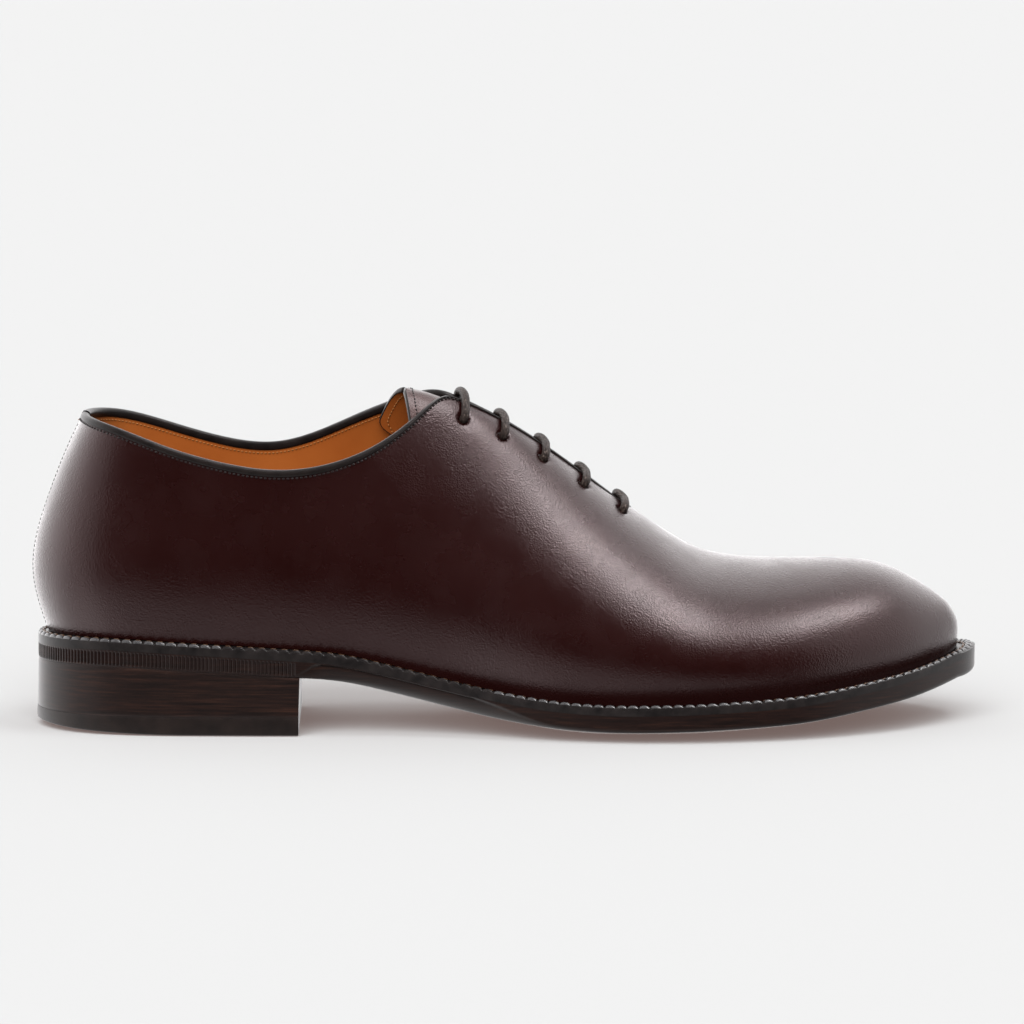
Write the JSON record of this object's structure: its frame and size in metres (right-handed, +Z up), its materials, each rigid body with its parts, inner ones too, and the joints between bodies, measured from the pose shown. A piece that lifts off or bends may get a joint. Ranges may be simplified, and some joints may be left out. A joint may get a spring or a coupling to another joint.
{
  "type": "whole cut oxford shoe",
  "caption": "Right whole cut oxford: seamless leather upper with closed lacing, bound collar, full welt, leather sole and stacked heel.",
  "frame": {"origin": "centre of the bounding box on the floor the shoe stands on", "axes": "+X from the heel to the toe, +Y towards the inner (medial) side, +Z up"},
  "size_m": [0.3128, 0.1061, 0.1106],
  "materials": {
    "upper_leather": "satin",
    "binding_leather": "satin",
    "welt_leather": "satin",
    "sole_leather": "polished edge",
    "top_piece_rubber": "matte",
    "lining_leather": "matte",
    "lace_cotton": "waxed"
  },
  "bodies": {
    "root": {"outsole": "sole_leather", "welt": "welt_leather", "insole": "lining_leather", "heel_lift_1": "sole_leather", "heel_lift_2": "sole_leather", "heel_lift_3": "sole_leather", "top_piece": "top_piece_rubber", "upper": "upper_leather", "collar_binding": "binding_leather", "tongue": "upper_leather", "lace_bar_1": "lace_cotton", "lace_bar_2": "lace_cotton", "lace_bar_3": "lace_cotton", "lace_bar_4": "lace_cotton", "lace_bar_5": "lace_cotton"}
  },
  "joints": []
}
